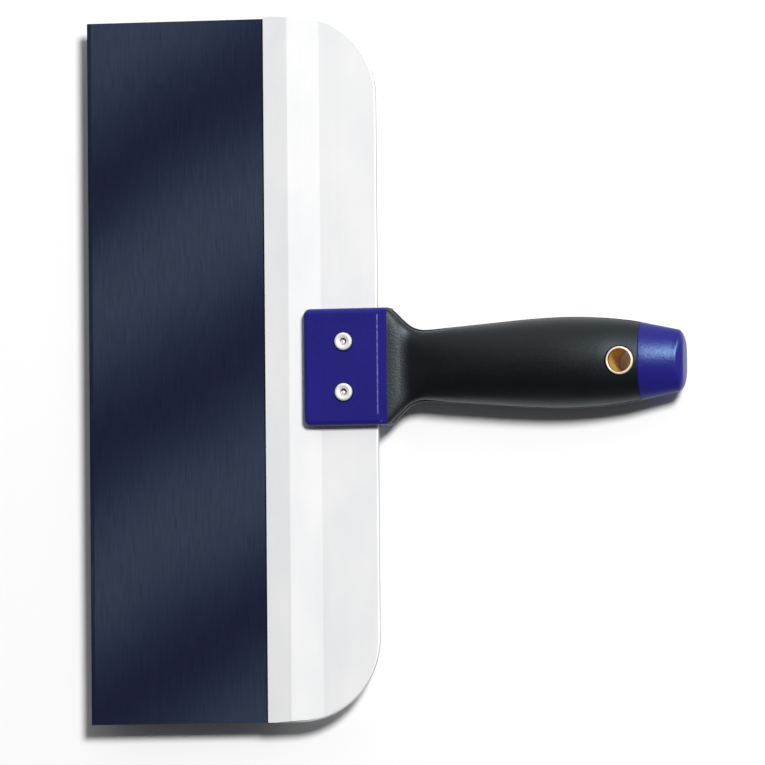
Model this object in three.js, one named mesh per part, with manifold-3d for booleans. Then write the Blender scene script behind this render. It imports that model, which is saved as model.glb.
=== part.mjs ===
// Drywall taping knife, 12 inch: a blued spring-steel blade held in an aluminium backing bar,
// clamped in the slotted head of a plastic handle by two blind rivets.
//
// Millimetres. x runs from the working edge to the butt, y along the blade and z square to it.
// The pieces are drawn with x = 0 at the working edge and z = 0 in the blade's mid-plane.
// The group at the end moves the origin to the bottom centre of the knife's box.

import * as THREE from 'three';
import { mergeVertices } from 'three/addons/utils/BufferGeometryUtils.js';
import Module from 'manifold-3d';

const wasm = await Module();
wasm.setup();

// ---- Driving dimensions ----

const GAP = 0.3;                     // clearance between touching pieces

const BLADE_LENGTH = 304.8;
const BLADE_WIDTH = 90.0;            // 79 mm shows, the rest sits in the bar
const LIP_COVER = 0.6;               // the shown face is drawn up to just ahead of the bar's lip
const BLADE_THICKNESS = 0.5;
const BEVEL_WIDTH = 1.8;             // ground strip along the working edge
const EDGE_THICKNESS = 0.3;

const BAR_FRONT = 79.1;
const BAR_RIDGE = 89.8;
const BAR_WEB = 103.9;               // where the flat rear web starts
const BAR_REAR = 129.0;
const LIP_HALF = 1.3;                // half thicknesses of the bar
const RIDGE_HALF = 2.0;
const WEB_HALF = 1.2;
const BAR_CORNER_RADIUS = 36;

const HEAD_FRONT = 97.0;
const HEAD_REAR = 134.3;             // the joint between the head and the grip
const HEAD_HALF_WIDTH = 25.3;
const HEAD_HALF_HEIGHT = 6.8;
const HEAD_CORNER_RADIUS = 3.2;
const HEAD_EDGE_RADIUS = 2.2;

const NECK_END = 152;                // the grip's rings stand closer together up to here
const NECK_RINGS = 10;
const GRIP_RINGS = 16;

const CAP_FRONT = 245.3;             // the joint between the grip and the end cap
const BUTT = 264.1;
const BUTT_LENGTH = 2.8;             // how far from the butt its edges begin to round
const BUTT_SIDE_ROUND = 4.4;
const BUTT_TOP_ROUND = 1.1;
const TANG_LAP = 1.2;                // how far the tang reaches into the head
const TANG_NECK = 243.3;             // where the tang steps down to enter the end cap
const TANG_TAIL = 258.0;
const TANG_WALL = 2.0;               // grip thickness over the tang, above and below
const TANG_SIDE_WALL = 3.2;          // the same at the sides
const TAIL_WALL = 2.4;               // end cap thickness over the tang's tail
const TAIL_SIDE_WALL = 3.8;

const RIVET_X = 115.3;
const RIVET_Y = 10.9;
const RIVET_FLANGE_RADIUS = 3.85;
const RIVET_FLANGE_HEIGHT = 1.15;
const RIVET_SHANK_RADIUS = 2.4;
const RIVET_BORE_RADIUS = 1.5;
const RIVET_BULB_RADIUS = 3.4;
const RIVET_BULB_HEIGHT = 2.6;
const WASHER_RADIUS = 5.0;
const WASHER_THICKNESS = 1.0;
const MANDREL_RADIUS = 1.2;
const MANDREL_HEAD_RADIUS = 2.2;
const MANDREL_HEAD_HEIGHT = 1.1;
const MANDREL_RECESS = 0.9;          // depth of the broken stem below the flange

const EYELET_X = 237.8;
const EYELET_BORE_RADIUS = 4.8;
const EYELET_WALL = 0.4;
const EYELET_ROLL_RADIUS = 6.0;
const EYELET_ROLL_HEIGHT = 0.9;
const EYELET_SEAT = 10.1;            // half height of the flat seats for the rolled ends

const SKIN_POINTS = 40;              // points around the handle, and around the tang
const TANG_POINTS = 24;
const THROUGH = 20;                  // reach of a cutter that goes right through the handle
const EDGE_BREAK = 0.3;              // small chamfers on the turned pieces

// Handle outline: x, half width, half height, squareness of the section, height of its middle.
const STATIONS = [
  [134.3, 25.1, 6.8, 8.0, 0.0],
  [136.2, 23.9, 6.4, 7.0, 0.0],
  [138.2, 22.0, 5.9, 6.0, 0.0],
  [140.2, 20.0, 5.5, 5.0, 0.0],
  [143.0, 17.6, 5.2, 4.0, 0.0],
  [146.0, 16.1, 5.5, 3.4, 0.0],
  [150.0, 15.4, 6.6, 2.9, 0.0],
  [160.0, 16.1, 8.7, 2.45, 0.0],
  [175.0, 17.3, 10.7, 2.2, 0.0],
  [195.0, 18.9, 12.3, 2.05, 0.0],
  [212.0, 19.6, 13.0, 2.0, 0.0],
  [228.0, 19.0, 12.2, 2.0, 0.0],
  [240.0, 17.7, 10.6, 1.95, 0.0],
  [245.3, 16.75, 9.9, 1.9, 0.0],
  [249.0, 15.95, 9.2, 1.85, -0.1],
  [256.0, 14.45, 7.8, 1.85, -0.55],
  [260.5, 13.5, 6.9, 1.95, -0.9],
  [266.0, 12.4, 5.8, 4.0, -1.25],
];

const HALF_HEIGHT = Math.max(...STATIONS.map((station) => station[2]));

// ---- Solids and booleans ----

function toSolid(geometry) {
  const bare = geometry.clone();
  for (const name of Object.keys(bare.attributes)) {
    if (name !== 'position') bare.deleteAttribute(name);
  }
  const merged = mergeVertices(bare, 1e-4);
  const vertProperties = new Float32Array(merged.attributes.position.array);
  const triVerts = new Uint32Array(merged.index.array);
  return new wasm.Manifold(new wasm.Mesh({ numProp: 3, vertProperties, triVerts }));
}

function toGeometry(solid) {
  const mesh = solid.getMesh();
  const geometry = new THREE.BufferGeometry();
  geometry.setAttribute('position', new THREE.BufferAttribute(mesh.vertProperties, 3));
  geometry.setIndex(new THREE.BufferAttribute(mesh.triVerts, 1));
  return geometry;
}

// A skin over rings of equal point counts, closed at both ends by a fan about the ring's centre.
function loft(rings) {
  const positions = [];
  const index = [];
  const count = rings[0].length;
  for (const ring of rings) {
    for (const point of ring) positions.push(...point);
  }
  for (let i = 0; i < rings.length - 1; i += 1) {
    for (let j = 0; j < count; j += 1) {
      const a = i * count + j;
      const b = i * count + ((j + 1) % count);
      index.push(a, b, a + count, b, b + count, a + count);
    }
  }
  for (const last of [false, true]) {
    const ring = last ? rings[rings.length - 1] : rings[0];
    const first = last ? (rings.length - 1) * count : 0;
    const centre = positions.length / 3;
    positions.push(ring[0][0], 0, 0);
    for (let j = 0; j < count; j += 1) {
      const a = first + j;
      const b = first + ((j + 1) % count);
      if (last) index.push(centre, a, b);
      else index.push(centre, b, a);
    }
  }
  const geometry = new THREE.BufferGeometry();
  geometry.setAttribute('position', new THREE.Float32BufferAttribute(positions, 3));
  geometry.setIndex(index);
  return geometry;
}

// A cylinder along z between two heights.
function zCylinder(radius, bottom, top, x, y) {
  const segments = 32;
  const geometry = new THREE.CylinderGeometry(radius, radius, top - bottom, segments);
  geometry.rotateX(Math.PI / 2);
  geometry.translate(x, y, (top + bottom) / 2);
  return geometry;
}

function throughHole(radius, x, y) {
  return toSolid(zCylinder(radius, -THROUGH, THROUGH, x, y));
}

// A closed profile of [radius, height] points turned about a vertical axis at x, y.
function turned(profile, x, y, segments) {
  const points = profile.map(([radius, height]) => new THREE.Vector2(radius, height));
  if (THREE.ShapeUtils.area(points) < 0) points.reverse();
  const geometry = new THREE.LatheGeometry(points, segments);
  geometry.rotateX(Math.PI / 2);
  geometry.translate(x, y, 0);
  return geometry;
}

// A shape drawn in x, z and extruded along the whole length of the blade.
function alongBlade(points, length) {
  const shape = new THREE.Shape(points.map(([x, z]) => new THREE.Vector2(x, z)));
  const geometry = new THREE.ExtrudeGeometry(shape, { depth: length, bevelEnabled: false });
  geometry.rotateX(Math.PI / 2);
  geometry.translate(0, length / 2, 0);
  return geometry;
}

// ---- Handle outline ----

// A smooth curve through one column of the stations.
function smoothColumn(column, x) {
  const slope = (i) => {
    const before = STATIONS[Math.max(i - 1, 0)];
    const after = STATIONS[Math.min(i + 1, STATIONS.length - 1)];
    return (after[column] - before[column]) / (after[0] - before[0]);
  };
  let i = 0;
  while (i < STATIONS.length - 2 && STATIONS[i + 1][0] < x) i += 1;
  const span = STATIONS[i + 1][0] - STATIONS[i][0];
  const t = (x - STATIONS[i][0]) / span;
  const rise = t * t * (3 - 2 * t);
  const start = t * (1 - t) * (1 - t) * span * slope(i);
  const end = t * t * (t - 1) * span * slope(i + 1);
  return STATIONS[i][column] * (1 - rise) + STATIONS[i + 1][column] * rise + start + end;
}

// A ring of the handle's section at x, drawn in by a wall thickness.
function handleRing(x, count, sideWall, wall) {
  const halfWidth = smoothColumn(1, x) - sideWall;
  const halfHeight = smoothColumn(2, x) - wall;
  const power = 2 / smoothColumn(3, x);
  const middle = smoothColumn(4, x);
  const ring = [];
  for (let j = 0; j < count; j += 1) {
    const angle = (2 * Math.PI * (j + 0.5)) / count;
    const c = Math.cos(angle);
    const s = Math.sin(angle);
    ring.push([
      x,
      halfWidth * Math.sign(c) * Math.abs(c) ** power,
      middle + halfHeight * Math.sign(s) * Math.abs(s) ** power,
    ]);
  }
  return ring;
}

function evenly(start, end, steps) {
  return Array.from({ length: steps + 1 }, (_, i) => start + ((end - start) * i) / steps);
}

// ---- Pieces ----

function bladeGeometry() {
  const half = BLADE_THICKNESS / 2;
  const edge = EDGE_THICKNESS / 2;
  const shown = BAR_FRONT - LIP_COVER;
  const section = [[0, edge], [BEVEL_WIDTH, half], [shown, half], [BLADE_WIDTH, half]];
  const side = BLADE_LENGTH / 2;
  const ring = ([x, z]) => [[x, side, z], [x, -side, z], [x, -side, -z], [x, side, -z]];
  return loft(section.map(ring));
}

// The bar's upper outline as [x, z], swollen by a clearance.
function barTop(clearance) {
  return [
    [BAR_FRONT, LIP_HALF + clearance],
    [BAR_RIDGE, RIDGE_HALF + clearance],
    [BAR_WEB, WEB_HALF + clearance],
    [BAR_REAR + clearance, WEB_HALF + clearance],
  ];
}

function barOutline(clearance) {
  const top = barTop(clearance);
  const bottom = top.map(([x, z]) => [x, -z]).reverse();
  return [...bottom, ...top];
}

function backingBarGeometry() {
  const side = BLADE_LENGTH / 2;
  const radius = BAR_CORNER_RADIUS;
  const plan = new THREE.Shape();
  plan.moveTo(BAR_FRONT - 1, -side);
  plan.lineTo(BAR_REAR - radius, -side);
  plan.absarc(BAR_REAR - radius, radius - side, radius, -Math.PI / 2, 0, false);
  plan.absarc(BAR_REAR - radius, side - radius, radius, 0, Math.PI / 2, false);
  plan.lineTo(BAR_FRONT - 1, side);
  const depth = 3 * RIDGE_HALF;
  const planGeometry = new THREE.ExtrudeGeometry(plan, { depth, bevelEnabled: false, curveSegments: 20 });
  planGeometry.translate(0, 0, -depth / 2);

  const slotHalf = BLADE_THICKNESS / 2 + GAP;
  const slot = new THREE.BoxGeometry(2 * (BLADE_WIDTH + GAP - BAR_FRONT), BLADE_LENGTH + 2, 2 * slotHalf);
  slot.translate(BAR_FRONT, 0, 0);

  let solid = toSolid(alongBlade(barOutline(0), BLADE_LENGTH)).intersect(toSolid(planGeometry));
  solid = solid.subtract(toSolid(slot));
  for (const y of [RIVET_Y, -RIVET_Y]) {
    solid = solid.subtract(throughHole(RIVET_SHANK_RADIUS + GAP, RIVET_X, y));
  }
  return toGeometry(solid);
}

// Rounded slab of the head, left square where the grip meets it.
function headSolid() {
  const overrun = 6;
  const front = HEAD_FRONT;
  const rear = HEAD_REAR + overrun;
  const side = HEAD_HALF_WIDTH;
  const corner = HEAD_CORNER_RADIUS;
  const plan = new THREE.Shape();
  plan.moveTo(rear, -side);
  plan.lineTo(rear, side);
  plan.absarc(front + corner, side - corner, corner, Math.PI / 2, Math.PI, false);
  plan.absarc(front + corner, corner - side, corner, Math.PI, 1.5 * Math.PI, false);
  const slab = new THREE.ExtrudeGeometry(plan, {
    depth: 2 * (HEAD_HALF_HEIGHT - HEAD_EDGE_RADIUS),
    bevelThickness: HEAD_EDGE_RADIUS,
    bevelSize: HEAD_EDGE_RADIUS,
    bevelOffset: -HEAD_EDGE_RADIUS,
    bevelSegments: 4,
    curveSegments: 5,
  });
  slab.translate(0, 0, HEAD_EDGE_RADIUS - HEAD_HALF_HEIGHT);
  const keep = new THREE.BoxGeometry(2 * (HEAD_REAR - front), 3 * side, 4 * HEAD_HALF_HEIGHT);
  keep.translate(front, 0, 0);
  return toSolid(slab).intersect(toSolid(keep));
}

function tangRings(extra) {
  const rings = evenly(HEAD_REAR - TANG_LAP, TANG_NECK, 18).map((x) => {
    const station = Math.max(x, HEAD_REAR);
    const ring = handleRing(station, TANG_POINTS, TANG_SIDE_WALL - extra, TANG_WALL - extra);
    return ring.map((point) => [x, point[1], point[2]]);
  });
  for (const x of evenly(CAP_FRONT, TANG_TAIL + extra, 2)) {
    rings.push(handleRing(x, TANG_POINTS, TAIL_SIDE_WALL - extra, TAIL_WALL - extra));
  }
  return rings;
}

function handleCoreGeometry() {
  let solid = headSolid().add(toSolid(loft(tangRings(0))));
  solid = solid.subtract(toSolid(alongBlade(barOutline(GAP), 3 * HEAD_HALF_WIDTH)));
  for (const y of [RIVET_Y, -RIVET_Y]) {
    solid = solid.subtract(throughHole(RIVET_SHANK_RADIUS + GAP, RIVET_X, y));
  }
  const bore = EYELET_BORE_RADIUS + EYELET_WALL + GAP;
  solid = solid.subtract(throughHole(bore, EYELET_X, 0));
  return toGeometry(solid);
}

function gripSleeveGeometry() {
  const stations = [
    ...evenly(HEAD_REAR + GAP, NECK_END, NECK_RINGS),
    ...evenly(NECK_END, CAP_FRONT - GAP, GRIP_RINGS).slice(1),
  ];
  let solid = toSolid(loft(stations.map((x) => handleRing(x, SKIN_POINTS, 0, 0))));
  solid = solid.subtract(toSolid(loft(tangRings(GAP))));
  const bore = EYELET_BORE_RADIUS + EYELET_WALL + GAP;
  solid = solid.subtract(throughHole(bore, EYELET_X, 0));
  const seat = EYELET_ROLL_RADIUS + GAP;
  solid = solid.subtract(toSolid(zCylinder(seat, EYELET_SEAT, THROUGH, EYELET_X, 0)));
  solid = solid.subtract(toSolid(zCylinder(seat, -THROUGH, -EYELET_SEAT, EYELET_X, 0)));
  return toGeometry(solid);
}

function endCapGeometry() {
  const straight = evenly(CAP_FRONT, BUTT - BUTT_LENGTH, 5);
  const rings = straight.map((x) => handleRing(x, SKIN_POINTS, 0, 0));
  for (const turn of evenly(0, Math.PI / 2, 4).slice(1)) {
    const x = BUTT - BUTT_LENGTH * (1 - Math.sin(turn));
    const drawn = 1 - Math.cos(turn);
    rings.push(handleRing(x, SKIN_POINTS, BUTT_SIDE_ROUND * drawn, BUTT_TOP_ROUND * drawn));
  }
  return toGeometry(toSolid(loft(rings)).subtract(toSolid(loft(tangRings(GAP)))));
}

// A tube whose two ends are rolled over into lips.
function hangEyeletGeometry() {
  const inner = EYELET_BORE_RADIUS;
  const outer = inner + EYELET_WALL;
  const seat = EYELET_SEAT + GAP;
  const top = seat + EYELET_ROLL_HEIGHT;
  const flare = [
    [outer, seat],
    [EYELET_ROLL_RADIUS, seat],
    [EYELET_ROLL_RADIUS, seat + 0.4 * EYELET_ROLL_HEIGHT],
    [EYELET_ROLL_RADIUS - EDGE_BREAK, top - 0.1],
    [(inner + EYELET_ROLL_RADIUS) / 2, top],
    [inner + EDGE_BREAK / 2, top - EDGE_BREAK],
    [inner, seat],
  ];
  const mirrored = flare.map(([radius, height]) => [radius, -height]).reverse();
  return turned([...flare, ...mirrored, flare[0]], EYELET_X, 0, 32);
}

// A set rivet: flange, shank and the bulb that was drawn up against the washer.
function rivetBodyGeometry(y) {
  const bore = RIVET_BORE_RADIUS;
  const under = HEAD_HALF_HEIGHT + GAP;
  const top = under + RIVET_FLANGE_HEIGHT;
  const bulbTop = -HEAD_HALF_HEIGHT - WASHER_THICKNESS - 2 * GAP;
  const bulbBottom = bulbTop - RIVET_BULB_HEIGHT;
  const mouth = bulbBottom + 2 * EDGE_BREAK;
  return turned([
    [bore, mouth],
    [bore, top - EDGE_BREAK],
    [bore + EDGE_BREAK, top],
    [RIVET_FLANGE_RADIUS - 3 * EDGE_BREAK, top],
    [RIVET_FLANGE_RADIUS - EDGE_BREAK / 2, top - EDGE_BREAK],
    [RIVET_FLANGE_RADIUS, under],
    [RIVET_SHANK_RADIUS, under],
    [RIVET_SHANK_RADIUS, bulbTop],
    [RIVET_BULB_RADIUS, bulbTop],
    [RIVET_BULB_RADIUS, (bulbTop + bulbBottom) / 2],
    [RIVET_SHANK_RADIUS, bulbBottom],
    [bore + EDGE_BREAK, bulbBottom],
    [bore, mouth],
  ], RIVET_X, y, 28);
}

// The broken stem left inside a rivet, with its head below the bulb.
function rivetMandrelGeometry(y) {
  const top = HEAD_HALF_HEIGHT + GAP + RIVET_FLANGE_HEIGHT - MANDREL_RECESS;
  const headTop = -HEAD_HALF_HEIGHT - WASHER_THICKNESS - RIVET_BULB_HEIGHT - 3 * GAP;
  const headBottom = headTop - MANDREL_HEAD_HEIGHT;
  return turned([
    [0, headBottom],
    [MANDREL_HEAD_RADIUS - 2 * EDGE_BREAK, headBottom],
    [MANDREL_HEAD_RADIUS, headBottom + 2 * EDGE_BREAK],
    [MANDREL_HEAD_RADIUS, headTop],
    [MANDREL_RADIUS, headTop],
    [MANDREL_RADIUS, top - EDGE_BREAK],
    [MANDREL_RADIUS - EDGE_BREAK, top],
    [0, top],
  ], RIVET_X, y, 24);
}

function rivetWasherGeometry(y) {
  const top = -HEAD_HALF_HEIGHT - GAP;
  const bottom = top - WASHER_THICKNESS;
  const bore = RIVET_SHANK_RADIUS + GAP;
  return turned([
    [bore, bottom],
    [bore, top],
    [WASHER_RADIUS, top],
    [WASHER_RADIUS, bottom],
    [bore, bottom],
  ], RIVET_X, y, 28);
}

// ---- Materials ----

const bluedSteel = new THREE.MeshStandardMaterial({ color: 0x2c3550, roughness: 0.38, metalness: 0.9 });
const aluminium = new THREE.MeshStandardMaterial({ color: 0xdfe1e4, roughness: 0.45, metalness: 0.9 });
const bluePlastic = new THREE.MeshStandardMaterial({ color: 0x282c82, roughness: 0.35, metalness: 0 });
const blackRubber = new THREE.MeshStandardMaterial({ color: 0x16171a, roughness: 0.62, metalness: 0 });
const brass = new THREE.MeshStandardMaterial({ color: 0xc9983a, roughness: 0.28, metalness: 1 });
const brightSteel = new THREE.MeshStandardMaterial({ color: 0xc8c8c6, roughness: 0.35, metalness: 1 });

// ---- Assembly ----

const knife = new THREE.Group();
knife.position.set(-BUTT / 2, 0, HALF_HEIGHT);

function addPiece(name, geometry, material) {
  const mesh = new THREE.Mesh(geometry, material);
  mesh.name = name;
  knife.add(mesh);
}

addPiece('blade', bladeGeometry(), bluedSteel);
addPiece('backing_bar', backingBarGeometry(), aluminium);
addPiece('handle_core', handleCoreGeometry(), bluePlastic);
addPiece('grip_sleeve', gripSleeveGeometry(), blackRubber);
addPiece('end_cap', endCapGeometry(), bluePlastic);
addPiece('hang_eyelet', hangEyeletGeometry(), brass);
[RIVET_Y, -RIVET_Y].forEach((y, i) => {
  addPiece(`rivet_body_${i + 1}`, rivetBodyGeometry(y), aluminium);
  addPiece(`rivet_mandrel_${i + 1}`, rivetMandrelGeometry(y), brightSteel);
  addPiece(`rivet_washer_${i + 1}`, rivetWasherGeometry(y), brightSteel);
});

const part = new THREE.Group();
part.add(knife);

export default part;
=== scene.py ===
import math

import bmesh
import bpy
from mathutils import Matrix, Vector


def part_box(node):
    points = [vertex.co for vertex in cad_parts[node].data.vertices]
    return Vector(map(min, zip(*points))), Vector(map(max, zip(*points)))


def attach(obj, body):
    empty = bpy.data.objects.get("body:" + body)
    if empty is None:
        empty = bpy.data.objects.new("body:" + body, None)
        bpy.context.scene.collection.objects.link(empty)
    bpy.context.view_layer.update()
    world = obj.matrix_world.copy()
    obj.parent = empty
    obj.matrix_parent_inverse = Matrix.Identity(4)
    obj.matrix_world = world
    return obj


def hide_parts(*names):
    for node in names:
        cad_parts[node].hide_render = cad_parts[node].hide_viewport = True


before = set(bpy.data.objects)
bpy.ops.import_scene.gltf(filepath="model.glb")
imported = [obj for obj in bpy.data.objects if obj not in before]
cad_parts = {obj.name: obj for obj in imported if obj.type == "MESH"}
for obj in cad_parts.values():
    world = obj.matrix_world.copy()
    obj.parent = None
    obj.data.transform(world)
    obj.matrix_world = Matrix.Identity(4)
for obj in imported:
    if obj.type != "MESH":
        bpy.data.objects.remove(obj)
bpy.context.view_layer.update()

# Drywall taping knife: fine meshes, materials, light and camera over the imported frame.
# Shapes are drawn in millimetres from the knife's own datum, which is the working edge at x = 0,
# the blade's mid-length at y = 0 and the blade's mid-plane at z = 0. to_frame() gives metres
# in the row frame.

MM = 0.001

# ---- Places taken from the frame ----

blade_low, blade_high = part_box("blade")
EDGE_X = blade_low.x
MID_Z = (blade_low.z + blade_high.z) / 2


def to_frame(point):
    return (EDGE_X + point[0] * MM, point[1] * MM, MID_Z + point[2] * MM)


def span(node):
    """A node's box, as its low and high corners in millimetres from the knife's datum."""
    low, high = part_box(node)
    return [((corner.x - EDGE_X) / MM, corner.y / MM, (corner.z - MID_Z) / MM)
            for corner in (low, high)]


blade_span = span("blade")
bar_span = span("backing_bar")
core_span = span("handle_core")
grip_span = span("grip_sleeve")
cap_span = span("end_cap")
eyelet_span = span("hang_eyelet")
rivet_span = span("rivet_body_1")
washer_span = span("rivet_washer_1")

BLADE_WIDTH = blade_span[1][0]
BLADE_HALF = blade_span[1][2]
BAR_FRONT = bar_span[0][0]
BAR_REAR = bar_span[1][0]
RIDGE_HALF = bar_span[1][2]
HEAD_FRONT = core_span[0][0]
HEAD_HALF_WIDTH = core_span[1][1]
TANG_TAIL = core_span[1][0]
CAP_FRONT = cap_span[0][0]
BUTT = cap_span[1][0]
EYELET_X = (eyelet_span[0][0] + eyelet_span[1][0]) / 2
EYELET_ROLL = (eyelet_span[1][0] - eyelet_span[0][0]) / 2
EYELET_TOP = eyelet_span[1][2]
RIVET_X = (rivet_span[0][0] + rivet_span[1][0]) / 2
RIVET_Y = (rivet_span[0][1] + rivet_span[1][1]) / 2
RIVET_RADIUS = (rivet_span[1][0] - rivet_span[0][0]) / 2
RIVET_TOP = rivet_span[1][2]
RIVET_BOTTOM = rivet_span[0][2]
WASHER_TOP = washer_span[1][2]
WASHER_BOTTOM = washer_span[0][2]
WASHER_RADIUS = (washer_span[1][0] - washer_span[0][0]) / 2

# ---- Sizes that the frame's boxes do not give, in millimetres ----

GAP = 0.3
HAIR = 0.01                  # the least step, to stay inside a box or clear of a point
THROUGH = 20.0               # reach of a cutter that goes right through the handle
PAST = 1.0                   # how far a cutter runs past the face that it opens
BLADE_SHORT = 0.9            # how far the blade stops short of the bar at its +y end
BLADE_HALF_LENGTH = blade_span[1][1] - BLADE_SHORT / 2
BAR_HALF_LENGTH = bar_span[1][1] - HAIR
BEVEL_WIDTH = 1.8            # ground strip along the working edge
EDGE_HALF = 0.15
BAR_RIDGE = 89.8
BAR_WEB = 103.9
LIP_HALF = 1.3
WEB_HALF = 1.2
BAR_CORNER = 36.0
EDGE_ROUND = 0.7             # along the bar's rear edge and corners
EDGE_FADE = 10.0             # over which that rounding fades out along the bar's ends
HEAD_REAR = grip_span[0][0] - GAP
BELLY_HALF = grip_span[1][2] - 2 * HAIR
HEAD_HALF_HEIGHT = -WASHER_TOP - GAP
HEAD_CORNER = 3.2
HEAD_FILLET = 2.4
STRIP_FRONT = 130.6          # the low step across the head, just ahead of the grip
STRIP_DROP = 0.25
STRIP_SLOPE = 2.1            # run over rise of the step's front face
STRIP_STRAIGHT = 19.0        # half of the step's straight middle
STRIP_BEND = 0.06            # how fast it bends back past that, per millimetre
JOINT = 0.02                 # what is left open where two mouldings meet
TANG_ROOT = 1.2              # how far the tang reaches into the head
TANG_NECK = CAP_FRONT - 2.0
TANG_WALL = 2.0
TANG_SIDE_WALL = 3.2
TAIL_WALL = 2.4
TAIL_SIDE_WALL = 3.8
BUTT_LENGTH = 2.7            # how far from the end face the butt's edges begin to round
BUTT_SIDE_ROUND = 4.4
BUTT_SIDE_ARC = (0.0, 72.0)  # degrees the rounding turns through before the end face
BUTT_TOP_ROUND = 1.9
BUTT_TOP_ARC = (40.0, 66.0)
BUTT_DOME = 0.15
RIVET_SHANK = 2.4
RIVET_BORE = 1.5
STEM_RADIUS = 1.42
STEM_NECK_RADIUS = 1.0       # where the stem narrows to break
STEM_NECK_LENGTH = 2.6
STEM_BEND = (-0.3, -0.3, 0.0)  # how far its broken end is pushed to one side
EYELET_BORE = 4.8
EYELET_WALL = 0.4
EYELET_LIP = 1.45            # height of the rolled lip
EYELET_SEAT = EYELET_TOP - EYELET_LIP - 0.05
SEAT_MARGIN = 0.45           # how much wider than the lip its seat in the grip is

# Handle outline: x, half width, half height, squareness of the section, height of its middle.
STATIONS = [
    (HEAD_REAR, 25.1, 6.55, 8.0, 0.0),
    (136.2, 23.9, 6.3, 7.0, 0.0),
    (138.2, 22.0, 5.9, 6.0, 0.0),
    (140.2, 20.0, 5.35, 5.0, 0.0),
    (143.0, 17.6, 5.2, 4.0, 0.0),
    (146.0, 16.1, 5.65, 3.4, 0.0),
    (150.0, 15.4, 6.6, 2.9, 0.0),
    (160.0, 16.1, 8.7, 2.45, 0.0),
    (175.0, 17.3, 10.7, 2.2, 0.0),
    (195.0, 18.9, 12.3, 2.05, 0.0),
    (212.0, 19.6, BELLY_HALF, 2.0, 0.0),
    (228.0, 19.0, 12.2, 2.0, 0.0),
    (240.0, 17.7, 10.6, 1.95, 0.0),
    (CAP_FRONT, 16.75, 9.9, 1.9, 0.0),
    (249.0, 15.95, 9.2, 1.85, -0.1),
    (256.0, 14.45, 7.8, 1.85, -0.55),
    (260.5, 13.5, 6.9, 1.85, -0.9),
    (261.3, 13.35, 6.75, 1.95, -0.95),
    (266.0, 12.4, 5.8, 4.0, -1.25),
]
HALF_WIDTH, HALF_HEIGHT, SQUARENESS, MIDDLE = 1, 2, 3, 4   # columns of the outline
NECK_END = 152.0             # up to here the grip's rings lie closer together
QUARTER_STEPS = 44           # points along a quarter of a section
TANG_STEPS = 12
FINE_STEPS = 400             # points of the curve that those are spaced along

# The rim along the grip's parting line: x, how far it stands proud.
RIM = [(HEAD_REAR, 0.0), (136.5, 0.55), (149.0, 0.55), (163.0, 0.12), (243.0, 0.12), (CAP_FRONT, 0.0)]
RIM_HALF = 1.2
RIM_EDGE = 0.1               # how much its two edges are broken


# ---- Curves ----

def smooth_column(column, x):
    """A smooth curve through one column of the stations."""
    last = len(STATIONS) - 1

    def slope(i):
        before = STATIONS[max(i - 1, 0)]
        after = STATIONS[min(i + 1, last)]
        return (after[column] - before[column]) / (after[0] - before[0])

    i = 0
    while i < last - 1 and STATIONS[i + 1][0] < x:
        i += 1
    width = STATIONS[i + 1][0] - STATIONS[i][0]
    t = (x - STATIONS[i][0]) / width
    rise = t * t * (3 - 2 * t)
    start = t * (1 - t) ** 2 * width * slope(i)
    end = t * t * (t - 1) * width * slope(i + 1)
    return STATIONS[i][column] * (1 - rise) + STATIONS[i + 1][column] * rise + start + end


def between(table, x):
    """A value read off a table of (x, value) by straight lines."""
    for (low, a), (high, b) in zip(table, table[1:]):
        if low <= x <= high:
            return a + (b - a) * (x - low) / (high - low)
    return table[-1][1]


def evenly(start, end, steps):
    return [start + (end - start) * i / steps for i in range(steps + 1)]


def arc(centre, radius, start, end, steps):
    """Points of an arc in a plane, by angles in degrees."""
    return [(centre[0] + radius * math.cos(angle), centre[1] + radius * math.sin(angle))
            for angle in evenly(math.radians(start), math.radians(end), steps)]


def circle(x, y, radius, segments=64):
    return arc((x, y), radius, 0, 360 - 360 / segments, segments - 1)


def respaced(points, steps):
    """The same open curve with evenly spaced points."""
    travel = [0.0]
    for a, b in zip(points, points[1:]):
        travel.append(travel[-1] + math.dist(a, b))
    spaced = []
    i = 0
    for target in evenly(0.0, travel[-1], steps):
        while i < len(points) - 2 and travel[i + 1] < target:
            i += 1
        share = (target - travel[i]) / (travel[i + 1] - travel[i])
        spaced.append(tuple(p + (q - p) * share for p, q in zip(points[i], points[i + 1])))
    return spaced


# ---- Meshes ----

CRISP = 3.0                  # degrees past which an edge of a flat-faced piece stays sharp
SMOOTH = 40.0                # the same for a rounded piece
HEAD_CRISP = 34.0            # and for the head with its tang


def make_piece(name, points, faces):
    mesh = bpy.data.meshes.new(name)
    mesh.from_pydata([to_frame(point) for point in points], [], faces)
    tidy = bmesh.new()
    tidy.from_mesh(mesh)
    bmesh.ops.remove_doubles(tidy, verts=tidy.verts, dist=1e-7)
    bmesh.ops.recalc_face_normals(tidy, faces=tidy.faces)
    tidy.to_mesh(mesh)
    tidy.free()
    piece = bpy.data.objects.new(name, mesh)
    bpy.context.scene.collection.objects.link(piece)
    return piece


def skin(name, rings):
    """A closed skin over rings of equal point counts, with a flat face at each end."""
    count = len(rings[0])
    points = [point for ring in rings for point in ring]
    faces = [list(range(count))[::-1], [len(points) - count + j for j in range(count)]]
    for i in range(len(rings) - 1):
        for j in range(count):
            a = i * count + j
            b = i * count + (j + 1) % count
            faces.append((a, b, b + count, a + count))
    return make_piece(name, points, faces)


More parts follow.
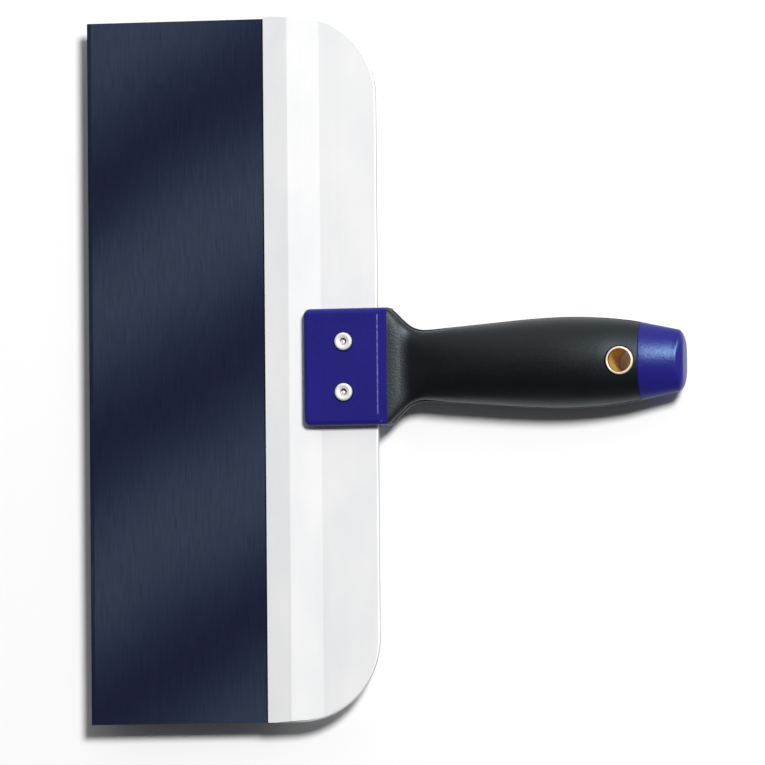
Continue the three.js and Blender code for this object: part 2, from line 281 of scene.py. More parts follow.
def turned(name, profile, x, y, segments):
    """A closed profile of (radius, height) turned about an upright axis at x, y."""
    count = len(profile)
    points = []
    faces = []
    for i in range(segments):
        angle = 2 * math.pi * i / segments
        after = (i + 1) % segments
        for j, (radius, height) in enumerate(profile):
            points.append((x + radius * math.cos(angle), y + radius * math.sin(angle), height))
            k = (j + 1) % count
            corners = [i * count + j, after * count + j, after * count + k, i * count + k]
            if profile[j][0] == 0.0:
                corners[1] = corners[0]
            if profile[k][0] == 0.0:
                corners[2] = corners[3]
            corners = list(dict.fromkeys(corners))
            if len(corners) > 2:
                faces.append(corners)
    return make_piece(name, points, faces)


def bake_modifiers(piece):
    view = bpy.context.evaluated_depsgraph_get()
    baked = bpy.data.meshes.new_from_object(piece.evaluated_get(view))
    piece.modifiers.clear()
    piece.data = baked


def carve(piece, tool, operation="DIFFERENCE"):
    modifier = piece.modifiers.new("carve", "BOOLEAN")
    modifier.operation = operation
    modifier.solver = "EXACT"
    modifier.object = tool
    bake_modifiers(piece)
    bpy.data.objects.remove(tool)


def soften(piece, width, segments, angle):
    """Rounds each edge sharper than the angle."""
    modifier = piece.modifiers.new("soften", "BEVEL")
    modifier.width = width * MM
    modifier.segments = segments
    modifier.limit_method = "ANGLE"
    modifier.angle_limit = math.radians(angle)
    bake_modifiers(piece)


def shade(piece, sharp):
    """Smooth shading, broken at edges sharper than the angle."""
    piece.data.shade_smooth()
    piece.data.set_sharp_from_angle(angle=math.radians(sharp))
    modifier = piece.modifiers.new("weigh", "WEIGHTED_NORMAL")
    modifier.keep_sharp = True
    bake_modifiers(piece)


def settle(piece, node, material):
    """Puts a finished piece in a CAD node's place."""
    piece.data.materials.clear()
    piece.data.materials.append(material)
    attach(piece, "root")
    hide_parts(node)


def along_blade(name, section, half_length, chamfer=0.0, middle=0.0):
    """A closed x, z section run along the blade, drawn in a little at both ends."""
    centre_x = sum(x for x, _ in section) / len(section)
    rings = []
    for y, drawn in ((-half_length, chamfer), (chamfer - half_length, 0.0),
                     (half_length - chamfer, 0.0), (half_length, chamfer)):
        ring = []
        for x, z in section:
            inward = math.copysign(min(drawn, abs(z)), z)
            ring.append((x + math.copysign(drawn, centre_x - x), y + middle, z - inward))
        rings.append(ring)
    return skin(name, rings if chamfer else [rings[0], rings[-1]])


def upright(name, outline, bottom, top):
    """A closed x, y outline run upright between two heights."""
    return skin(name, [[(x, y, z) for x, y in outline] for z in (bottom, top)])


def mirrored(half):
    """A half outline, closed by its mirror image below the mid-plane."""
    return half + [(across, -height) for across, height in reversed(half)]


def drill(piece, x, y, radius, segments=64):
    """A round hole right through a piece."""
    carve(piece, upright("drill", circle(x, y, radius, segments), -THROUGH, THROUGH))


def fillet(half_height, radius, steps):
    """Heights up a rounded edge, each with how far the outline is drawn in there."""
    return [(half_height - radius * (1 - math.sin(turn)), radius * (1 - math.cos(turn)))
            for turn in evenly(0, math.pi / 2, steps)]


def plate(name, outline, levels):
    """An x, y outline drawn in by levels, which are mirrored below the mid-plane."""
    levels = [(-height, inset) for height, inset in reversed(levels)] + levels
    return skin(name, [[(x, y, z) for x, y in outline(inset)] for z, inset in levels])


def all_round(x, corner, middle=0.0):
    """A ring at x from its first quarter, mirrored to the other side and below."""
    ring = corner + [(-y, z) for y, z in reversed(corner[:-1])]
    ring += [(-y, -z) for y, z in corner[1:]] + [(y, -z) for y, z in reversed(corner[1:-1])]
    return [(x, y, middle + z) for y, z in ring]


# ---- Node recipes for materials ----

class Recipe:
    """A material being made: each call adds a node and gives back its output."""

    def __init__(self, name, colour, roughness, metallic=0.0):
        self.material = bpy.data.materials.new(name)
        self.material.use_nodes = True
        self.nodes = self.material.node_tree.nodes
        self.links = self.material.node_tree.links
        self.shader = self.nodes["Principled BSDF"]
        self.shader.inputs["Base Color"].default_value = (*colour, 1.0)
        self.shader.inputs["Roughness"].default_value = roughness
        self.shader.inputs["Metallic"].default_value = metallic
        self.place = self.nodes.new("ShaderNodeTexCoord").outputs["Object"]

    def gloss(self, level, tint=(1.0, 1.0, 1.0)):
        """Strength and tint of the surface reflection."""
        self.shader.inputs["Specular IOR Level"].default_value = level
        self.shader.inputs["Specular Tint"].default_value = (*tint, 1.0)

    def feed(self, socket, value):
        """Sets a socket to a number, a colour or another node's output."""
        if isinstance(value, bpy.types.NodeSocket):
            self.links.new(value, socket)
        elif isinstance(value, tuple):
            socket.default_value = (*value, 1.0)
        else:
            socket.default_value = value

    def coords(self, scale, turn=0.0):
        """Object coordinates times a frequency per millimetre on each axis."""
        spin = self.nodes.new("ShaderNodeVectorRotate")
        spin.rotation_type = "Z_AXIS"
        spin.inputs["Angle"].default_value = math.radians(turn)
        self.feed(spin.inputs["Vector"], self.place)
        stretch = self.nodes.new("ShaderNodeMapping")
        stretch.inputs["Scale"].default_value = [value / MM for value in scale]
        self.feed(stretch.inputs["Vector"], spin.outputs["Vector"])
        return stretch.outputs["Vector"]

    def noise(self, scale, detail=2.0, roughness=0.5, distortion=0.0, turn=0.0):
        node = self.nodes.new("ShaderNodeTexNoise")
        node.inputs["Scale"].default_value = 1.0
        node.inputs["Detail"].default_value = detail
        node.inputs["Roughness"].default_value = roughness
        node.inputs["Distortion"].default_value = distortion
        self.feed(node.inputs["Vector"], self.coords(scale, turn))
        return node.outputs["Fac"]

    def cells(self, scale):
        node = self.nodes.new("ShaderNodeTexVoronoi")
        node.inputs["Scale"].default_value = 1.0
        self.feed(node.inputs["Vector"], self.coords(scale))
        return node.outputs["Distance"]

    def ramp(self, value, *stops):
        """Colours or greys by position."""
        node = self.nodes.new("ShaderNodeValToRGB")
        while len(node.color_ramp.elements) < len(stops):
            node.color_ramp.elements.new(1.0)
        for element, (position, colour) in zip(node.color_ramp.elements, stops):
            element.position = position
            element.color = (*colour, 1.0) if isinstance(colour, tuple) else (*[colour] * 3, 1.0)
        self.feed(node.inputs["Fac"], value)
        return node.outputs["Color"]

    def maths(self, operation, a, b=0.0):
        node = self.nodes.new("ShaderNodeMath")
        node.operation = operation
        self.feed(node.inputs[0], a)
        self.feed(node.inputs[1], b)
        return node.outputs["Value"]

    def mix(self, factor, a, b, blend="MIX"):
        node = self.nodes.new("ShaderNodeMix")
        node.data_type = "RGBA"
        node.blend_type = blend
        first, second = [socket for socket in node.inputs if socket.type == "RGBA"]
        self.feed(node.inputs[0], factor)
        self.feed(first, a)
        self.feed(second, b)
        return next(socket for socket in node.outputs if socket.type == "RGBA")

    def axis(self, name):
        """One object coordinate, in millimetres in the row frame."""
        node = self.nodes.new("ShaderNodeSeparateXYZ")
        self.feed(node.inputs["Vector"], self.coords((1.0, 1.0, 1.0)))
        return node.outputs[name]

    def along(self):
        """Millimetres from the working edge towards the butt."""
        return self.maths("SUBTRACT", self.axis("X"), EDGE_X / MM)

    def off_middle(self):
        """Millimetres above or below the blade's mid-plane."""
        return self.maths("ABSOLUTE", self.maths("SUBTRACT", self.axis("Z"), MID_Z / MM))

    def spread(self, x, aside):
        """Millimetres from an upright axis at x, given the distance to one side of it."""
        ahead = self.maths("POWER", self.maths("SUBTRACT", self.along(), x), 2.0)
        return self.maths("POWER", self.maths("ADD", ahead, self.maths("POWER", aside, 2.0)), 0.5)

    def paint(self, colour, roughness):
        self.feed(self.shader.inputs["Base Color"], colour)
        self.feed(self.shader.inputs["Roughness"], roughness)

    def bump(self, height, depth):
        """Relief of a depth in millimetres."""
        node = self.nodes.new("ShaderNodeBump")
        node.inputs["Distance"].default_value = depth * MM
        self.feed(node.inputs["Height"], height)
        self.feed(self.shader.inputs["Normal"], node.outputs["Normal"])


BAND_PITCH = 115.6           # the painted reflection bands across the blade, in millimetres along it
BAND_SLANT = 0.625           # how far they shift along it, per millimetre across it
BAND_START = 0.12            # in pitches, as is how far they waver
BAND_WAVER = 0.16

# Marks, painted shade and a painted highlight, in millimetres.
BURNT_EDGE = 0.35            # dark line along the working edge
LIP_SHADOW = 0.9              # painted shadow: dark line ahead of the bar's lip, where the lip shades the blade
SIDE_SHADE_HALF = 0.9        # painted shade: darker band around the bar's sides
CREST_BACK = 0.35            # painted highlight: light line ahead of the low strip, on the step's edge
CREST_HALF_WIDTH = 0.26
CREST_HALF_LENGTH = 21.5
CREST_MIDDLE = 0.9
RIVET_SHADE = 0.5            # painted shade: dark ring around each rivet
EYELET_SHADE = 0.3           # painted shade: dark ring just inside the eyelet's lips


def blued_steel():
    """Dark blue tempered steel, brushed along its length, with wide soft bands of painted reflection
    across it.
    """
    recipe = Recipe("blued_steel", (0.03, 0.045, 0.10), 0.4, 0.6)
    grain = recipe.noise((5.0, 0.10, 5.0), detail=4.0, roughness=0.7)
    coarse = recipe.noise((0.9, 0.03, 0.9), detail=4.0, roughness=0.6)
    drift = recipe.noise((0.02, 0.012, 0.02), detail=2.0)
    across = recipe.along()
    # Painted reflection: soft slanting light and dark bands laid into the blade's colour.
    slant = recipe.maths("MULTIPLY", across, BAND_SLANT)
    turns = recipe.maths("DIVIDE", recipe.maths("SUBTRACT", slant, recipe.axis("Y")), BAND_PITCH)
    turns = recipe.maths("ADD", turns, recipe.maths("MULTIPLY", drift, BAND_WAVER))
    turns = recipe.maths("ADD", turns, BAND_START)
    wave = recipe.maths("COSINE", recipe.maths("MULTIPLY", turns, 2 * math.pi))
    wave = recipe.maths("ADD", recipe.maths("MULTIPLY", wave, 0.5), 0.5)
    reflection_bands = recipe.ramp(wave, (0.0, (0.0105, 0.0150, 0.048)), (0.5, (0.025, 0.037, 0.078)),
                        (1.0, (0.042, 0.060, 0.104)))
    streaks = recipe.ramp(grain, (0.25, 0.62), (0.75, 1.35))
    body = recipe.mix(0.8, reflection_bands, streaks, "MULTIPLY")
    ground = recipe.maths("LESS_THAN", across, BEVEL_WIDTH)
    body = recipe.mix(recipe.maths("MULTIPLY", ground, 0.7), body, (0.010, 0.018, 0.044))
    fresh = recipe.maths("MULTIPLY", ground, recipe.ramp(coarse, (0.58, 0.0), (0.68, 0.8)))
    body = recipe.mix(fresh, body, (0.07, 0.09, 0.14))
    burnt = recipe.maths("LESS_THAN", across, BURNT_EDGE)
    # Painted shadow ahead of the bar's lip, joined with the dark line along the working edge.
    lip_shadow_mask = recipe.maths("GREATER_THAN", across, BAR_FRONT - LIP_SHADOW)
    dark_edge_and_lip_shadow = recipe.maths("MAXIMUM", burnt, lip_shadow_mask)
    recipe.paint(recipe.mix(recipe.maths("MULTIPLY", dark_edge_and_lip_shadow, 0.85), body, (0.004, 0.004, 0.007)),
                 recipe.ramp(grain, (0.2, 0.34), (0.8, 0.50)))
    recipe.bump(recipe.maths("ADD", grain, coarse), 0.006)
    return recipe.material


def satin_aluminium():
    """Extruded bar: faint die lines along its length, small marks, and painted shade along its sides.
    """
    recipe = Recipe("bar_aluminium", (0.90, 0.90, 0.91), 0.5, 0.35)
    lines = recipe.noise((2.2, 0.004, 2.2), detail=5.0, roughness=0.75)
    cloud = recipe.noise((0.05, 0.03, 0.05), detail=3.0)
    marks = recipe.noise((0.6, 0.12, 0.6), detail=6.0, roughness=0.8, turn=25.0)
    colour = recipe.ramp(cloud, (0.3, (0.86, 0.87, 0.88)), (0.7, (0.93, 0.93, 0.93)))
    scratch = recipe.ramp(marks, (0.66, 0.0), (0.74, 0.35))
    # Painted shade: the bar's sides darkened around their mid-height.
    side = recipe.maths("LESS_THAN", recipe.off_middle(), SIDE_SHADE_HALF)
    wear_and_highlight = recipe.mix(scratch, colour, (0.66, 0.67, 0.70))
    recipe.paint(recipe.mix(recipe.maths("MULTIPLY", side, 0.8), wear_and_highlight, (0.42, 0.42, 0.43)),
                 recipe.ramp(lines, (0.25, 0.46), (0.75, 0.54)))
    recipe.bump(lines, 0.008)
    return recipe.material


def blue_plastic():
    """Deep blue moulded plastic: fine grain, flow marks, a painted highlight on the step's crest and
    painted shade around the rivets.
    """
    recipe = Recipe("blue_plastic", (0.016, 0.0108, 0.170), 0.35)
    recipe.gloss(0.5, (0.40, 0.66, 0.95))
    flow = recipe.noise((0.05, 0.02, 0.05), detail=3.0, distortion=0.6)
    grain = recipe.noise((0.95, 0.95, 0.95), detail=3.0, roughness=0.6)
    highlight_mottle = recipe.noise((0.5, 0.5, 0.5), detail=5.0, roughness=0.75)
    base = recipe.ramp(flow, (0.3, (0.0145, 0.0098, 0.160)), (0.7, (0.0175, 0.0118, 0.180)))

    # Painted highlight: a light line along the edge of the low step, broken up by noise.
    ahead = recipe.maths("SUBTRACT", recipe.along(), STRIP_FRONT - CREST_BACK)
    crest = recipe.maths("LESS_THAN", recipe.maths("ABSOLUTE", ahead), CREST_HALF_WIDTH)
    beside = recipe.maths("SUBTRACT", recipe.axis("Y"), CREST_MIDDLE)
    beside = recipe.maths("LESS_THAN", recipe.maths("ABSOLUTE", beside), CREST_HALF_LENGTH)
    crest = recipe.maths("MULTIPLY", crest, beside)
    crest = recipe.maths("MULTIPLY", crest, recipe.ramp(highlight_mottle, (0.35, 0.25), (0.6, 0.9)))
    wear_and_highlight = recipe.mix(crest, base, (0.17, 0.20, 0.52))

    # Painted shade: a dark ring around each rivet.
    aside = recipe.maths("SUBTRACT", recipe.maths("ABSOLUTE", recipe.axis("Y")), RIVET_Y)
    painted_shade = recipe.maths("LESS_THAN", recipe.spread(RIVET_X, aside), RIVET_RADIUS + RIVET_SHADE)
    recipe.paint(recipe.mix(recipe.maths("MULTIPLY", painted_shade, 0.85), wear_and_highlight, (0.002, 0.001, 0.012)),
                 recipe.ramp(grain, (0.3, 0.31), (0.7, 0.38)))
    recipe.bump(grain, 0.06)
    return recipe.material


def black_grip():
    """Black rubber with a stippled mould texture, deeper and duller beside the head."""
    recipe = Recipe("black_grip", (0.0012, 0.0013, 0.0016), 0.44)
    recipe.gloss(0.6, (0.80, 0.93, 1.0))
    stipple = recipe.noise((1.1, 1.1, 1.1), detail=3.0, roughness=0.6)
    pores = recipe.cells((1.6, 1.6, 1.6))
    cloud = recipe.noise((0.06, 0.06, 0.06), detail=2.0)
    past_head = recipe.maths("SUBTRACT", recipe.along(), HEAD_REAR)
    coarse = recipe.ramp(recipe.maths("MULTIPLY", past_head, 0.05), (0.25, 1.0), (0.5, 0.2))
    tone = recipe.ramp(cloud, (0.3, (0.0008, 0.0009, 0.0011)), (0.7, (0.0016, 0.0017, 0.0021)))
    dullness = recipe.ramp(stipple, (0.3, 0.33), (0.7, 0.41))
    recipe.paint(tone, recipe.maths("ADD", dullness, recipe.maths("MULTIPLY", coarse, 0.15)))
    relief = recipe.maths("ADD", stipple, recipe.maths("MULTIPLY", pores, 0.4))
    recipe.bump(recipe.maths("MULTIPLY", relief, coarse), 0.11)
    return recipe.material


def polished_brass():
    """Bright brass with turned rings, painted pale on its lips as a highlight and painted dark just
    inside them as shade.
    """
    recipe = Recipe("eyelet_brass", (0.93, 0.66, 0.22), 0.34, 0.35)
    tarnish = recipe.noise((0.25, 0.25, 0.12), detail=4.0, roughness=0.65)
    rings = recipe.noise((0.1, 0.1, 3.0), detail=2.0)
    gold = recipe.ramp(tarnish, (0.3, (0.86, 0.54, 0.13)), (0.65, (0.96, 0.70, 0.24)))
    lip = recipe.maths("SUBTRACT", recipe.off_middle(), EYELET_TOP - EYELET_LIP)
    # Painted highlight: the lips lightened towards pale brass.
    lip_highlight = recipe.ramp(lip, (0.70, 0.0), (1.0, 0.85))
    brass = recipe.mix(lip_highlight, gold, (0.99, 0.90, 0.68))
    # Painted shade: a dark ring just inside the lips.
    spread = recipe.spread(EYELET_X, recipe.axis("Y"))
    painted_shade = recipe.maths("MULTIPLY", recipe.maths("LESS_THAN", spread, EYELET_BORE + EYELET_SHADE),
                         recipe.maths("GREATER_THAN", lip, 0.45))
    recipe.paint(recipe.mix(recipe.maths("MULTIPLY", painted_shade, 0.9), brass, (0.03, 0.016, 0.004)),
                 recipe.ramp(tarnish, (0.3, 0.40), (0.7, 0.28)))
    recipe.bump(rings, 0.01)
    return recipe.material


def plain_metal(name, dark, light, scale, metallic, roughness):
    """Bare metal with patchy dulling."""
    recipe = Recipe(name, light, roughness, metallic)
    dull = recipe.noise((scale, scale, scale), detail=4.0, roughness=0.7)
    recipe.paint(recipe.ramp(dull, (0.3, dark), (0.7, light)),
                 recipe.ramp(dull, (0.3, roughness + 0.06), (0.7, roughness - 0.06)))
    recipe.bump(dull, 0.03)
    return recipe.material


STEEL = blued_steel()
ALUMINIUM = satin_aluminium()
BLUE = blue_plastic()
RUBBER = black_grip()
BRASS = polished_brass()
RIVET = plain_metal("rivet_aluminium", (0.84, 0.83, 0.81), (0.95, 0.94, 0.93), 0.9, 0.4, 0.45)
BRIGHT = plain_metal("bright_steel", (0.60, 0.59, 0.57), (0.82, 0.81, 0.79), 1.4, 0.5, 0.42)


# ---- Blade and bar ----

def make_blade():
    """A sheet with its ground strip and slightly broken edges."""
    broken = 0.05
    upper = [
        (0.0, EDGE_HALF - broken),
        (broken, EDGE_HALF),
        (BEVEL_WIDTH, BLADE_HALF),
        (BLADE_WIDTH - broken, BLADE_HALF),
        (BLADE_WIDTH, BLADE_HALF - broken),
    ]
    blade = along_blade("blade_sheet", mirrored(upper), BLADE_HALF_LENGTH, broken,
                        -BLADE_SHORT / 2)
    shade(blade, CRISP)
    settle(blade, "blade", STEEL)


def bar_section(clearance):
    """The bar's closed outline in x, z, swollen by a clearance."""
    upper = [
        (BAR_FRONT, LIP_HALF + clearance),
        (BAR_RIDGE, RIDGE_HALF + clearance),
        (BAR_WEB, WEB_HALF + clearance),
        (BAR_REAR + clearance, WEB_HALF + clearance),
    ]
    return mirrored(upper)


def bar_outline(inset):
    """The bar's plan, drawn in along its rear and its two round corners."""
    side = BAR_HALF_LENGTH
    corner_x = BAR_REAR - BAR_CORNER
    corner_y = side - BAR_CORNER
    radius = BAR_CORNER - inset
    points = [(BAR_FRONT - PAST, -side), (corner_x - EDGE_FADE, -side)]
    points += arc((corner_x, -corner_y), radius, -90, 0, 60)
    points += arc((corner_x, corner_y), radius, 0, 90, 60)
    return points + [(corner_x - EDGE_FADE, side), (BAR_FRONT - PAST, side)]


def make_bar():
    """The extrusion, cut to its rounded plan, with its slot and rivet holes."""
    bar = along_blade("bar_extrusion", bar_section(0.0), BAR_HALF_LENGTH)
    levels = fillet(WEB_HALF, EDGE_ROUND, 8) + [(THROUGH, EDGE_ROUND)]
    carve(bar, plate("bar_plan", bar_outline, levels), "INTERSECT")
    slot_half = BLADE_HALF + GAP
    slot_rear = BLADE_WIDTH + GAP
    slot = [(BAR_FRONT - PAST, -slot_half), (slot_rear, -slot_half),
            (slot_rear, slot_half), (BAR_FRONT - PAST, slot_half)]
    carve(bar, along_blade("bar_slot", slot, BAR_HALF_LENGTH + PAST))
    for y in (RIVET_Y, -RIVET_Y):
        drill(bar, RIVET_X, y, RIVET_SHANK + GAP)
    soften(bar, width=0.2, segments=3, angle=30)
    shade(bar, CRISP)
    settle(bar, "backing_bar", ALUMINIUM)


# ---- Handle ----

def handle_ring(x, steps=QUARTER_STEPS, side_wall=0.0, wall=0.0, station=None):
    """A ring of the handle at x: a squared ellipse, drawn in by a wall."""
    at = x if station is None else station
    half_width = smooth_column(HALF_WIDTH, at) - side_wall
    half_height = smooth_column(HALF_HEIGHT, at) - wall
    power = 2 / smooth_column(SQUARENESS, at)
    middle = smooth_column(MIDDLE, at)
    fine = []
    for angle in evenly(0.0, math.pi / 2, FINE_STEPS):
        y = half_width * max(math.cos(angle), 0.0) ** power
        fine.append((y, half_height * math.sin(angle) ** power))
    return all_round(x, respaced(fine, steps), middle)


def grip_ring(x):
    """A ring of the grip at x, with the flat rim that follows the mould's parting line."""
    proud = between(RIM, x)
    outer = smooth_column(HALF_WIDTH, x)
    half_width = outer - proud
    half_height = smooth_column(HALF_HEIGHT, x)
    power = smooth_column(SQUARENESS, x)
    fine = [(half_width * (1 - (RIM_HALF / half_height) ** power) ** (1 / power), RIM_HALF)]
    for angle in evenly(0.0, math.pi / 2, FINE_STEPS):
        height = half_height * math.sin(angle) ** (2 / power)
        if height > RIM_HALF + HAIR:
            fine.append((half_width * max(math.cos(angle), 0.0) ** (2 / power), height))
    edge = min(RIM_EDGE, proud / 2)
    corner = [(outer, 0.0), (outer, RIM_HALF - 2 * RIM_EDGE), (outer - edge, RIM_HALF)]
    return all_round(x, corner + respaced(fine, QUARTER_STEPS))


def tang_rings(extra):
    """The tang inside the grip, and its smaller tail inside the end cap."""
    rings = []
    for x in evenly(HEAD_REAR - TANG_ROOT, TANG_NECK, 40):
        walls = (TANG_SIDE_WALL - extra, TANG_WALL - extra)
        rings.append(handle_ring(x, TANG_STEPS, *walls, station=max(x, HEAD_REAR)))
    for x in evenly(CAP_FRONT, TANG_TAIL + extra, 4):
        rings.append(handle_ring(x, TANG_STEPS, TAIL_SIDE_WALL - extra, TAIL_WALL - extra))
    return rings


def head_outline(inset):
    """The head's plan, drawn in from its front and sides but not from the joint."""
    side = HEAD_HALF_WIDTH - inset
    front = HEAD_FRONT + inset
    radius = HEAD_CORNER - inset
    points = [(HEAD_REAR, -side), (HEAD_REAR, side)]
    points += arc((front + radius, side - radius), radius, 90, 180, 12)
    points += arc((front + radius, radius - side), radius, 180, 270, 12)
    return points


def strip_cutter(up):
    """What is cut away to leave the low strip: its front bends back towards the sides."""
    step = []
    for y in evenly(-HEAD_HALF_WIDTH - PAST, HEAD_HALF_WIDTH + PAST, 48):
        bend = max(abs(y) - STRIP_STRAIGHT, 0.0)
        step.append((STRIP_FRONT + STRIP_BEND * bend * bend, y))
    rear = [(HEAD_REAR + PAST, y) for _, y in reversed(step)]
    low = HEAD_HALF_HEIGHT - STRIP_DROP
    high = HEAD_HALF_HEIGHT + PAST
    lean = STRIP_SLOPE * (high - low)
    floor = [(x, y, up * low) for x, y in step + rear]
    top = [(x - lean, y, up * high) for x, y in step] + [(x, y, up * high) for x, y in rear]
    return skin("strip_step", [floor, top])


def make_core():
    """The slotted head with its low rear strip, and the tang inside the grip."""
    core = plate("handle_moulding", head_outline, fillet(HEAD_HALF_HEIGHT, HEAD_FILLET, 12))
    for up in (1, -1):
        carve(core, strip_cutter(up))
    carve(core, skin("tang", tang_rings(0.0)), "UNION")
    carve(core, along_blade("head_slot", bar_section(GAP), HEAD_HALF_WIDTH + PAST))
    for y in (RIVET_Y, -RIVET_Y):
        drill(core, RIVET_X, y, RIVET_SHANK + GAP)
    drill(core, EYELET_X, 0, EYELET_BORE + EYELET_WALL + GAP)
    shade(core, HEAD_CRISP)
    settle(core, "handle_core", BLUE)


def make_grip():
    stations = evenly(HEAD_REAR + JOINT, NECK_END, 44)
    stations += evenly(NECK_END, CAP_FRONT - JOINT, 90)[1:]
    grip = skin("soft_grip", [grip_ring(x) for x in stations])
    carve(grip, skin("tang_bore", tang_rings(GAP)))
    drill(grip, EYELET_X, 0, EYELET_BORE + EYELET_WALL + GAP, 96)
    seat = circle(EYELET_X, 0, EYELET_ROLL + SEAT_MARGIN, 96)
    for bottom, top in ((EYELET_SEAT, THROUGH), (-THROUGH, -EYELET_SEAT)):
        carve(grip, upright("eyelet_seat", seat, bottom, top))
    shade(grip, SMOOTH)
    settle(grip, "grip_sleeve", RUBBER)


def rounding(share, first, last):
    """How much of an arc's rise, between two angles, is done at a share of its run."""
    first, last = math.radians(first), math.radians(last)
    turn = math.asin(math.sin(first) + share * (math.sin(last) - math.sin(first)))
    return (math.cos(first) - math.cos(turn)) / (math.cos(first) - math.cos(last))


def make_end_cap():
    """The butt: a tapered shell with a softened joint edge, and a domed face at its end."""
    rings = []
    for x, drawn in ((CAP_FRONT, 0.22), (CAP_FRONT + 0.08, 0.08), (CAP_FRONT + 0.3, 0.0)):
        rings.append(handle_ring(x, side_wall=drawn, wall=drawn))
    face = BUTT - BUTT_DOME
    for x in evenly(CAP_FRONT + 0.6, face - BUTT_LENGTH, 16):
        rings.append(handle_ring(x))
    for travel in evenly(0.0, 1.0, 18)[1:]:
        share = math.sin(travel * math.pi / 2)
        side = BUTT_SIDE_ROUND * rounding(share, *BUTT_SIDE_ARC)
        top = BUTT_TOP_ROUND * rounding(share, *BUTT_TOP_ARC)
        rings.append(handle_ring(face - BUTT_LENGTH * (1 - share), side_wall=side, wall=top))
    rim = rings[-1]
    middle = smooth_column(MIDDLE, face)
    for part in (0.8, 0.6, 0.4, 0.2, 0.05):
        x = BUTT - BUTT_DOME * part * part
        rings.append([(x, y * part, middle + (z - middle) * part) for _, y, z in rim])
    cap = skin("butt_cap", rings)
    carve(cap, skin("tail_socket", tang_rings(GAP)))
    shade(cap, SMOOTH)
    settle(cap, "end_cap", BLUE)


def make_eyelet():
    """A brass tube with both ends rolled over into half-round lips."""
    lip = (EYELET_ROLL - EYELET_BORE) / 2
    base = EYELET_TOP - lip
    under = EYELET_TOP - EYELET_LIP
    flare = [(EYELET_BORE + EYELET_WALL, under), (EYELET_ROLL - 0.05, under)]
    flare += arc((EYELET_BORE + lip, base), lip, 0, 180, 14)
    eyelet = turned("brass_eyelet", mirrored(flare), EYELET_X, 0, 96)
    shade(eyelet, SMOOTH)
    settle(eyelet, "hang_eyelet", BRASS)


# ---- Fasteners ----

def make_rivet(number, y):
    """A set blind rivet: a dished flange above, and a bulb pulled down on its washer below."""
    under = HEAD_HALF_HEIGHT + 0.02
    bulb_top = WASHER_BOTTOM - GAP
    bulb_middle = (bulb_top + RIVET_BOTTOM) / 2
    flange = [
        (RIVET_BORE, RIVET_TOP - 0.6),
        (RIVET_BORE + 0.04, RIVET_TOP - 0.42),
        (RIVET_BORE + 0.22, RIVET_TOP - 0.26),
        (RIVET_BORE + 0.75, RIVET_TOP - 0.14),
        (RIVET_BORE + 1.15, RIVET_TOP - 0.03),
        (RIVET_BORE + 1.4, RIVET_TOP),
        (RIVET_BORE + 1.7, RIVET_TOP - 0.03),
        (RIVET_RADIUS - 0.35, RIVET_TOP - 0.18),
        (RIVET_RADIUS - 0.12, RIVET_TOP - 0.4),
        (RIVET_RADIUS - 0.02, RIVET_TOP - 0.7),
        (RIVET_RADIUS, RIVET_TOP - 0.95),
        (RIVET_RADIUS - 0.06, under),
    ]
    bulb = [
        (RIVET_SHANK, under),
        (RIVET_SHANK, bulb_top),
        (3.1, bulb_top),
        (3.4, bulb_top - 0.35),
        (3.4, bulb_middle),
        (3.1, bulb_middle - 0.6),
        (RIVET_SHANK, RIVET_BOTTOM + 0.1),
        (RIVET_SHANK - 0.2, RIVET_BOTTOM),
        (RIVET_BORE + 0.2, RIVET_BOTTOM),
        (RIVET_BORE, RIVET_BOTTOM + 0.3),
    ]
    body = turned(f"rivet_{number}", flange + bulb, RIVET_X, y, 72)
    shade(body, SMOOTH)
    settle(body, f"rivet_body_{number}", RIVET)


def make_mandrel(number, y):
    """The broken stem left in the rivet, and its head below the bulb."""
    low, high = span(f"rivet_mandrel_{number}")
    bottom = low[2]
    head = (high[0] - low[0]) / 2
    broken = high[2] - 0.3
    neck = broken - STEM_NECK_LENGTH
    stem = [
        (0.0, bottom),
        (head - 0.9, bottom + 0.06),
        (head - 0.25, bottom + 0.35),
        (head, bottom + 0.75),
        (head, bottom + 1.1),
        (STEM_RADIUS, bottom + 1.1),
        (STEM_RADIUS, neck - 0.2),
        (STEM_NECK_RADIUS, neck),
        (STEM_NECK_RADIUS, broken - 0.15),
        (STEM_NECK_RADIUS - 0.2, broken),
        (0.4, broken + 0.2),
        (0.0, broken + 0.15),
    ]
    mandrel = turned(f"mandrel_{number}", stem, RIVET_X, y, 48)
    for vertex in mandrel.data.vertices:
        if vertex.co.z > to_frame((0, 0, neck - 0.1))[2]:
            vertex.co += Vector(STEM_BEND) * MM
    shade(mandrel, SMOOTH)
    settle(mandrel, f"rivet_mandrel_{number}", BRIGHT)


def make_washer(number, y):
    inner = RIVET_SHANK + GAP
    edge = 0.12
    half = [(inner, WASHER_TOP - edge), (inner + edge, WASHER_TOP),
            (WASHER_RADIUS - edge, WASHER_TOP), (WASHER_RADIUS, WASHER_TOP - edge)]
    ends = WASHER_TOP + WASHER_BOTTOM
    profile = half + [(radius, ends - height) for radius, height in reversed(half)]
    washer = turned(f"washer_{number}", profile, RIVET_X, y, 64)
    shade(washer, SMOOTH)
    settle(washer, f"rivet_washer_{number}", BRIGHT)


# ---- Floor, light and camera ----

FLOOR_HALF = 3.0             # metres


